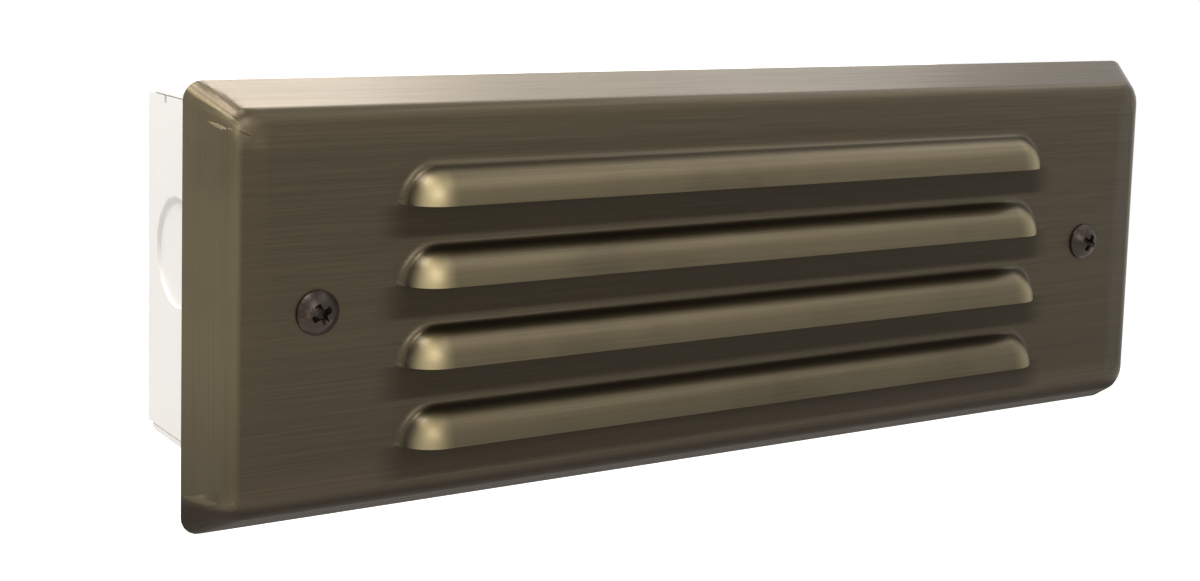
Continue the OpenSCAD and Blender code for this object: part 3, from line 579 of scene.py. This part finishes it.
def pressed_plate(sizes):
    """The frame's faceplate with its four corners pressed tighter, from a merged and cut copy of its mesh."""
    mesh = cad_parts["faceplate"].data.copy()
    mesh.name = "pressed_faceplate"
    grid = bmesh.new()
    grid.from_mesh(mesh)
    bmesh.ops.remove_doubles(grid, verts=grid.verts, dist=SAME_POINT)
    spots = corner_spots(sizes)
    straight_cuts(grid, spots)
    for spot in spots:
        corner_cuts(grid, spot)
    in_x, in_z = abs(spots[0].x) + ON_PLANE, abs(spots[0].z) + ON_PLANE
    corner_verts = [vert for vert in grid.verts if abs(vert.co.x) > in_x and abs(vert.co.z) > in_z]
    bmesh.ops.remove_doubles(grid, verts=corner_verts, dist=SAME_POINT)
    bmesh.ops.dissolve_degenerate(grid, dist=ON_PLANE, edges=grid.edges)
    grid.to_mesh(mesh)
    grid.free()
    points = np.empty(len(mesh.vertices) * 3)
    mesh.vertices.foreach_get("co", points)
    points = points.reshape(-1, 3)
    tighter_corners(points, sizes)
    mesh.vertices.foreach_set("co", points.ravel())
    mesh.shade_smooth()
    mesh.set_sharp_from_angle(angle=PLATE_SHARP)
    mesh.update()
    piece = bpy.data.objects.new("pressed_faceplate", mesh)
    bpy.context.scene.collection.objects.link(piece)
    normals = piece.modifiers.new("even_normals", "WEIGHTED_NORMAL")
    normals.weight, normals.keep_sharp = 100, True
    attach(piece, "cover")
    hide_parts("faceplate")
    return piece


def turned(radius, height, around):
    """Grid of a turned shape: every profile point (radius, height) is carried round the angles.

    Radius is one row per profile point and one column per angle, or a plain column."""
    angle = np.linspace(0, 2 * pi, around, endpoint=False)
    radius = np.broadcast_to(np.asarray(radius, float).reshape(len(height), -1), (len(height), around))
    level = np.broadcast_to(np.asarray(height, float).reshape(len(height), -1), (len(height), around))
    return np.stack([radius * np.cos(angle), radius * np.sin(angle), level], axis=-1)


def thread(height, pitch, depth, around, start, end):
    """How much a rolled thread lowers the surface: half a cosine of height over pitch less angle, faded in
    over one pitch at both ends."""
    angle = np.linspace(0, 2 * pi, around, endpoint=False)
    phase = height[:, None] / pitch - angle[None, :] / (2 * pi)
    wave = 0.5 - 0.5 * np.cos(2 * pi * phase)
    fade = np.clip((height - start) / pitch, 0, 1) * np.clip((end - height) / pitch, 0, 1)
    return depth * wave * fade[:, None]


def tube(path, radius, around=12):
    """Grid of a round wire: at every point of the path, a circle square to the way the path runs. At both
    ends it closes to the path's own end point."""
    upright, level, nearly_upright = [[0.0, 0.0, 1.0]], [[1.0, 0.0, 0.0]], 0.9
    way = np.gradient(path, axis=0)
    way /= np.linalg.norm(way, axis=1)[:, None]
    helper = np.where(np.abs(way[:, [2]]) < nearly_upright, upright, level)
    side = np.cross(way, helper)
    side /= np.linalg.norm(side, axis=1)[:, None]
    up = np.cross(way, side)
    angle = np.linspace(0, 2 * pi, around, endpoint=False)
    rim = np.cos(angle)[None, :, None] * side[:, None, :] + np.sin(angle)[None, :, None] * up[:, None, :]
    body = path[:, None, :] + radius * rim
    first = np.broadcast_to(path[0], body[:1].shape)
    last = np.broadcast_to(path[-1], body[-1:].shape)
    return np.concatenate([first, body, last])


def cross_head(sizes, radius, turn, around):
    """Rows of a domed head with its cross recess, from the pole out to the rim.

    The dome is a sphere's cap. The recess has two arms of one width. Their floor is flat in the middle and
    rises in a straight line to the head's top level at the end of each arm. The walls fall over a short
    smooth step."""
    recess_end, dome_start = sizes.cross_l * 0.55, sizes.cross_l * 0.57
    rows = np.concatenate([np.linspace(0, recess_end, 90), np.linspace(dome_start, radius, 24)])
    angle = np.linspace(0, 2 * pi, around, endpoint=False)
    out = np.broadcast_to(rows[:, None], (len(rows), around))
    rise = sizes.head_h - sizes.head_edge
    ball = (radius ** 2 + rise ** 2) / (2 * rise)
    dome = np.sqrt(ball ** 2 - out ** 2) - ball + sizes.head_h
    across = np.minimum(np.abs(out * np.sin(angle - turn)), np.abs(out * np.cos(angle - turn)))
    soft = 0.09 * MM
    inside = np.clip((sizes.cross_w / 2 + soft / 2 - across) / soft, 0, 1)
    inside = inside * inside * (3 - 2 * inside)
    arm = (sizes.cross_l / 2 - out) / (sizes.cross_l / 2 - sizes.cross_w)
    floor = sizes.head_h - sizes.cross_d * np.clip(arm, 0, 1)
    return rows, dome - inside * np.maximum(dome - floor, 0)


def ring_row(radius, around):
    """One row of a turned grid, with the same value at every angle."""
    return np.full((1, around), radius)


def screw_grid(sizes, low, high, turn, around=160):
    """Grid of a cover screw, head outwards, from the pole of its head to its tip.

    It has a domed head, a rounded rim, a flat underside, a threaded shank and a chamfer."""
    centre = (low + high) / 2
    radius = (high.x - low.x) / 2
    under = low.y + sizes.head_h
    rim, root, chamfer, lead = 0.12 * MM, 0.05 * MM, 0.6 * MM, 0.4 * MM
    tip_share = 0.72
    rows, dome = cross_head(sizes, radius, turn, around)
    shank = under - high.y
    level = np.linspace(-root, shank + chamfer, 230)
    groove = thread(level, -sizes.screw_pitch, sizes.screw_depth, around, -lead, shank)
    wall = sizes.shank_r - groove
    ring = [ring_row(value, around) for value in (radius, radius - rim, sizes.shank_r)]
    tip = [ring_row(value, around) for value in (sizes.shank_r * tip_share, 0.0)]
    radii = np.concatenate([np.broadcast_to(rows[:, None], dome.shape), *ring, wall, *tip])
    seat = [ring_row(value, around) for value in (rim, 0.0, 0.0)]
    foot = [ring_row(shank, around)] * len(tip)
    levels = np.concatenate([dome, *seat, np.broadcast_to(level[:, None], wall.shape), *foot])
    angle = np.linspace(0, 2 * pi, around, endpoint=False)
    return np.stack([centre.x + radii * np.cos(angle), under - levels, centre.z + radii * np.sin(angle)],
                    axis=-1)


def along_width(grid, x, y, z):
    """Lays a turned grid down so that its height runs along the width, with its foot at a point."""
    return np.stack([x + grid[..., 2], y + grid[..., 0], z + grid[..., 1]], axis=-1)


class STEPLIGHT_OT_stage(Operator):
    """Makes the floor, the white surround, the lights and the camera"""

    bl_idname = "steplight.stage"
    bl_label = "Stage"

    def execute(self, context):
        view = context.scene.step_light_view
        self.world(context, view)
        self.floor(view)
        for name, (place, aim, size) in LAMPS.items():
            self.lamp(f"{name}_light", place, aim, size, getattr(view, f"{name}_power"))
        self.camera(context, view)
        context.scene.view_settings.view_transform = "Standard"
        return {"FINISHED"}

    def world(self, context, view):
        """White where the camera, a reflection or glass looks, and a plain even light for the rest."""
        world = bpy.data.worlds.new("white_surround")
        context.scene.world = world
        graph = Graph(world.name, world)
        _, seen = graph.seen()
        strength = view.ambient + (1.0 - view.ambient) * seen
        shine = graph.add("ShaderNodeBackground", {}, {"Color": WHITE, "Strength": strength})
        graph.close(shine, "ShaderNodeOutputWorld")

    def floor(self, view):
        """A wide pale disc below the light, brightened for the camera until it meets the white surround."""
        drop = FACE_LOW.z - view.floor_drop
        angle = np.linspace(0, 2 * pi, FLOOR_SIDES, endpoint=False)
        rim = np.stack([FLOOR_R * np.cos(angle), FLOOR_R * np.sin(angle), np.full(FLOOR_SIDES, drop)], axis=1)
        mesh = bpy.data.meshes.new("floor")
        mesh.from_pydata(rim, [], [list(range(FLOOR_SIDES))])
        graph = Graph("pale_floor")
        camera, seen = graph.seen()
        matt = graph.add("ShaderNodeBsdfDiffuse", {}, {"Color": PALE})
        strength = view.floor_lift * camera + view.floor_glow * seen
        glow = graph.add("ShaderNodeEmission", {}, {"Strength": strength})
        mesh.materials.append(graph.close(graph.add("ShaderNodeAddShader", {}, {0: matt, 1: glow})))
        floor = bpy.data.objects.new("floor", mesh)
        bpy.context.scene.collection.objects.link(floor)

    def lamp(self, name, place, aim, size, power):
        """A rectangular soft light that looks from its place to a point."""
        data = bpy.data.lights.new(name, "AREA")
        data.shape = "RECTANGLE"
        data.size, data.size_y = size
        data.energy = power
        data.color = WARM
        lamp = bpy.data.objects.new(name, data)
        lamp.location = place
        lamp.rotation_mode = "QUATERNION"
        lamp.rotation_quaternion = (Vector(aim) - Vector(place)).to_track_quat("-Z", "Y")
        bpy.context.scene.collection.objects.link(lamp)

    def camera(self, context, view):
        """The camera looks along its yaw and pitch, then rolls."""
        ahead = Vector((sin(view.yaw) * cos(view.pitch), cos(view.yaw) * cos(view.pitch), sin(view.pitch)))
        level = Vector((cos(view.yaw), -sin(view.yaw), 0))
        upright = level.cross(ahead)
        right = cos(view.roll) * level + sin(view.roll) * upright
        up = cos(view.roll) * upright - sin(view.roll) * level
        data = bpy.data.cameras.new("camera")
        data.sensor_width = SENSOR_MM
        data.lens = view.lens
        data.shift_y = view.shift
        camera = bpy.data.objects.new("camera", data)
        turn = Matrix((right, up, -ahead)).transposed().to_4x4()
        camera.matrix_world = Matrix.Translation(Vector(view.place)) @ turn
        context.scene.collection.objects.link(camera)
        context.scene.camera = camera


class STEPLIGHT_OT_faceplate(Operator):
    """Presses the faceplate's corners, bronzes it, and finishes its lens, channel, clips and washers"""

    bl_idname = "steplight.faceplate"
    bl_label = "Faceplate"

    def execute(self, context):
        scene = context.scene
        plate = pressed_plate(scene.step_light_sizes)
        plate.data.materials.clear()
        plate.data.materials.append(bronze_material(scene.step_light_finish, scene.step_light_sizes))
        dress(glass_material("frosted_pane", (0.90, 0.94, 0.92), rough=0.30, frost=0.35), "lens")
        dress(moulded_material("soft_channel", (0.52, 0.51, 0.46), (0.60, 0.59, 0.54), rough=0.55),
              "lens_channel")
        dress(metal_material("clip_brass", (0.42, 0.29, 0.10), (0.60, 0.44, 0.18), rough=0.28), "lens_clips")
        dress(moulded_material("red_fibre", (0.16, 0.028, 0.016), (0.30, 0.06, 0.035), rough=0.7,
                               grain=900.0), "screw_washers")
        return {"FINISHED"}


class STEPLIGHT_OT_cover_screws(Operator):
    """Makes the two cover screws with their cross recesses and rolled threads"""

    bl_idname = "steplight.cover_screws"
    bl_label = "Cover screws"

    def execute(self, context):
        sizes = context.scene.step_light_sizes
        material = screw_material(context.scene.step_light_finish)
        for side, turn in (("left", sizes.left_turn), ("right", sizes.right_turn)):
            low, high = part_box(f"{side}_cover_screw")
            surface(f"{side}_threaded_screw", screw_grid(sizes, low, high, turn), material,
                    f"{side}_screw", f"{side}_cover_screw")
        return {"FINISHED"}


class STEPLIGHT_OT_back_box(Operator):
    """Paints the back box and finishes its gasket, bonding screw and lead"""

    bl_idname = "steplight.back_box"
    bl_label = "Back box"

    def execute(self, context):
        paint = paint_material(context.scene.step_light_finish)
        dress(paint, "housing_wrap", "housing_end_left", "housing_end_right")
        dress(moulded_material("black_foam", (0.010, 0.010, 0.011), (0.045, 0.045, 0.048), rough=0.9,
                               grain=1900.0, depth=0.2 * MM, pores=0.8), "housing_gasket")
        dress(metal_material("green_dye", (0.03, 0.14, 0.05), (0.06, 0.24, 0.09), rough=0.3), "ground_screw")
        dress(moulded_material("green_sleeve", (0.025, 0.13, 0.045), (0.04, 0.18, 0.06), rough=0.4),
              "ground_lead")
        dress(moulded_material("black_sleeve", (0.012, 0.012, 0.013), (0.022, 0.022, 0.024), rough=0.42),
              "lead_black")
        dress(moulded_material("white_sleeve", (0.72, 0.71, 0.66), (0.80, 0.79, 0.75), rough=0.42),
              "lead_white")
        dress(moulded_material("orange_cap", (0.48, 0.13, 0.02), (0.60, 0.18, 0.03), rough=0.4), "wire_nuts")
        return {"FINISHED"}


class STEPLIGHT_OT_reflector(Operator):
    """Finishes the reflector trough, its posts and screws"""

    bl_idname = "steplight.reflector"
    bl_label = "Reflector"

    def execute(self, context):
        dress(metal_material("rolled_aluminium", (0.66, 0.67, 0.69), (0.86, 0.87, 0.88), rough=0.16),
              "reflector")
        dress(metal_material("zinc_plate", (0.42, 0.43, 0.42), (0.62, 0.63, 0.63), rough=0.3),
              "reflector_standoffs", "reflector_screws")
        return {"FINISHED"}


class STEPLIGHT_OT_lampholder(Operator):
    """Finishes the porcelain lampholder, its shell, stem, strap and rivets"""

    bl_idname = "steplight.lampholder"
    bl_label = "Lampholder"

    def execute(self, context):
        dress(moulded_material("glazed_porcelain", (0.78, 0.755, 0.69), (0.86, 0.84, 0.79), rough=0.08,
                               grain=260.0, depth=0.03 * MM), "socket_body")
        dress(metal_material("shell_brass", (0.42, 0.28, 0.09), (0.62, 0.45, 0.17), rough=0.24),
              "socket_shell", "socket_contact")
        dress(metal_material("holder_zinc", (0.42, 0.43, 0.42), (0.62, 0.63, 0.63), rough=0.3),
              "socket_nipple", "socket_nut", "socket_bracket", "bracket_rivets")
        return {"FINISHED"}


class STEPLIGHT_OT_lamp(Operator):
    """Makes the lamp's threaded cap and its filament, and finishes its glass"""

    bl_idname = "steplight.lamp"
    bl_label = "Lamp"

    def execute(self, context):
        sizes = context.scene.step_light_sizes
        self.cap(sizes)
        self.filament(sizes)
        dress(glass_material("lamp_envelope", (0.95, 0.97, 0.96), rough=0.02), "lamp_glass")
        dress(moulded_material("black_insulator", (0.006, 0.006, 0.007), (0.015, 0.015, 0.016), rough=0.1),
              "lamp_insulator")
        dress(metal_material("solder", (0.30, 0.30, 0.31), (0.48, 0.48, 0.49), rough=0.36), "lamp_contact")
        return {"FINISHED"}

    def cap(self, sizes):
        """The cap is a cup: floor, threaded wall, rolled mouth and plain inside."""
        around = 180
        foot_in, mouth_in, plain, play = 0.4 * MM, 0.3 * MM, 2 * MM, 0.05 * MM
        crest = (CAP_HIGH.z - CAP_LOW.z) / 2
        span = CAP_HIGH.x - CAP_LOW.x
        level = np.linspace(0, span - mouth_in, 150)
        wall = crest - thread(level, sizes.cap_pitch, sizes.cap_depth, around, 0.0, span - plain)
        inner = sizes.neck_r + play
        foot = [ring_row(radius, around) for radius in (0.0, crest - foot_in)]
        mouth = [ring_row(radius, around) for radius in (crest - mouth_in, inner, inner, 0.0)]
        radii = np.concatenate([*foot, wall, *mouth])
        levels = np.concatenate([[0.0], [0.0], level, [span], [span], [sizes.cap_wall], [sizes.cap_wall]])
        grid = turned(radii, levels, around)
        centre = (CAP_LOW + CAP_HIGH) / 2
        brass = metal_material("cap_brass", (0.46, 0.32, 0.12), (0.66, 0.50, 0.22), rough=0.2)
        surface("threaded_cap", along_width(grid, CAP_LOW.x, centre.y, centre.z), brass,
                "lamp", "lamp_base")

    def filament(self, sizes):
        """A pinched glass stem, two support wires, and between their tips a helix of fine wire."""
        centre = (WIRE_LOW + WIRE_HIGH) / 2
        reach = WIRE_HIGH.x - sizes.coil_r - WIRE_LOW.x
        half = (WIRE_HIGH.z - WIRE_LOW.z) / 2 - sizes.wire_r
        foot = reach * 0.42
        self.stem(centre, foot)
        steel = metal_material("support_wire", (0.30, 0.30, 0.30), (0.52, 0.52, 0.52), rough=0.3)
        for name, side in (("left", -1), ("right", 1)):
            path = self.support(centre, foot, reach, side * half)
            surface(f"support_wire_{name}", tube(path, sizes.wire_r), steel, "lamp")
        tungsten = metal_material("tungsten", (0.16, 0.16, 0.17), (0.30, 0.30, 0.32), rough=0.35)
        coil = tube(self.coil(sizes, centre, reach, half), sizes.coil_wire_r, 6)
        surface("filament_coil", coil, tungsten, "lamp")

    def stem(self, centre, foot):
        """The stem's radius falls in straight lines between a few places along it."""
        places = [0, 0.3, 0.72, 0.9, 1]
        widths = [4.0 * MM, 3.2 * MM, 2.4 * MM, 2.4 * MM, 1.2 * MM]
        along = np.linspace(0, 1, 60)
        radii = np.concatenate([[0], np.interp(along, places, widths), [0]])
        levels = np.concatenate([[0], foot * along, [foot]])
        grid = along_width(turned(radii, levels, 48), WIRE_LOW.x, centre.y, centre.z)
        glass = glass_material("stem_glass", (0.9, 0.95, 0.93), rough=0.03)
        surface("glass_stem", grid, glass, "lamp", "lamp_filament")

    def support(self, centre, foot, reach, aside):
        """A support wire's path in straight stretches: out of the stem, aside, and on to the coil's end."""
        knots = np.array([[foot * 0.55, aside * 0.05], [foot * 0.98, aside * 0.12],
                          [foot * 1.25, aside * 0.7], [foot * 1.5, aside],
                          [reach * 0.9, aside], [reach, aside]])
        at = np.linspace(0, 1, 60)
        marks = np.linspace(0, 1, len(knots))
        return np.stack([WIRE_LOW.x + np.interp(at, marks, knots[:, 0]), np.full(len(at), centre.y),
                         centre.z + np.interp(at, marks, knots[:, 1])], axis=1)

    def coil(self, sizes, centre, reach, half):
        """The filament's path: a helix from one support to the other, whose middle droops in a parabola."""
        droop_depth = 1.2 * MM
        steps = 14
        at = np.linspace(0, 1, sizes.coil_turns * steps)
        ring = 2 * pi * sizes.coil_turns * at
        droop = droop_depth * 4 * at * (1 - at)
        return np.stack([WIRE_LOW.x + reach - droop + sizes.coil_r * (np.cos(ring) - 1),
                         centre.y + sizes.coil_r * np.sin(ring), centre.z + half * (2 * at - 1)], axis=1)


class STEPLIGHT_PT_panel(Panel):
    """Lists the pieces of the step light and their sizes and colours"""

    bl_idname = "STEPLIGHT_PT_panel"
    bl_label = "Step Light"
    bl_space_type = "VIEW_3D"
    bl_region_type = "UI"
    bl_category = "Step Light"

    def draw(self, context):
        for operator in OPERATORS:
            self.layout.operator(operator.bl_idname)
        for group in ("step_light_sizes", "step_light_finish", "step_light_view"):
            values = getattr(context.scene, group)
            for name in values.__annotations__:
                self.layout.prop(values, name)


GROUPS = {
    "step_light_sizes": StepLightSizes,
    "step_light_finish": StepLightFinish,
    "step_light_view": StepLightView,
}
OPERATORS = (STEPLIGHT_OT_stage, STEPLIGHT_OT_faceplate, STEPLIGHT_OT_cover_screws, STEPLIGHT_OT_back_box,
             STEPLIGHT_OT_reflector, STEPLIGHT_OT_lampholder, STEPLIGHT_OT_lamp)


def register():
    for made in (*GROUPS.values(), *OPERATORS, STEPLIGHT_PT_panel):
        bpy.utils.register_class(made)
    for name, group in GROUPS.items():
        setattr(bpy.types.Scene, name, PointerProperty(type=group))


def unregister():
    for name in GROUPS:
        delattr(bpy.types.Scene, name)
    for made in reversed((*GROUPS.values(), *OPERATORS, STEPLIGHT_PT_panel)):
        bpy.utils.unregister_class(made)


def main():
    """Registers the classes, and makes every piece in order."""
    register()
    for operator in OPERATORS:
        getattr(bpy.ops.steplight, operator.bl_idname.split(".")[1])()


if __name__ == "__main__":
    main()
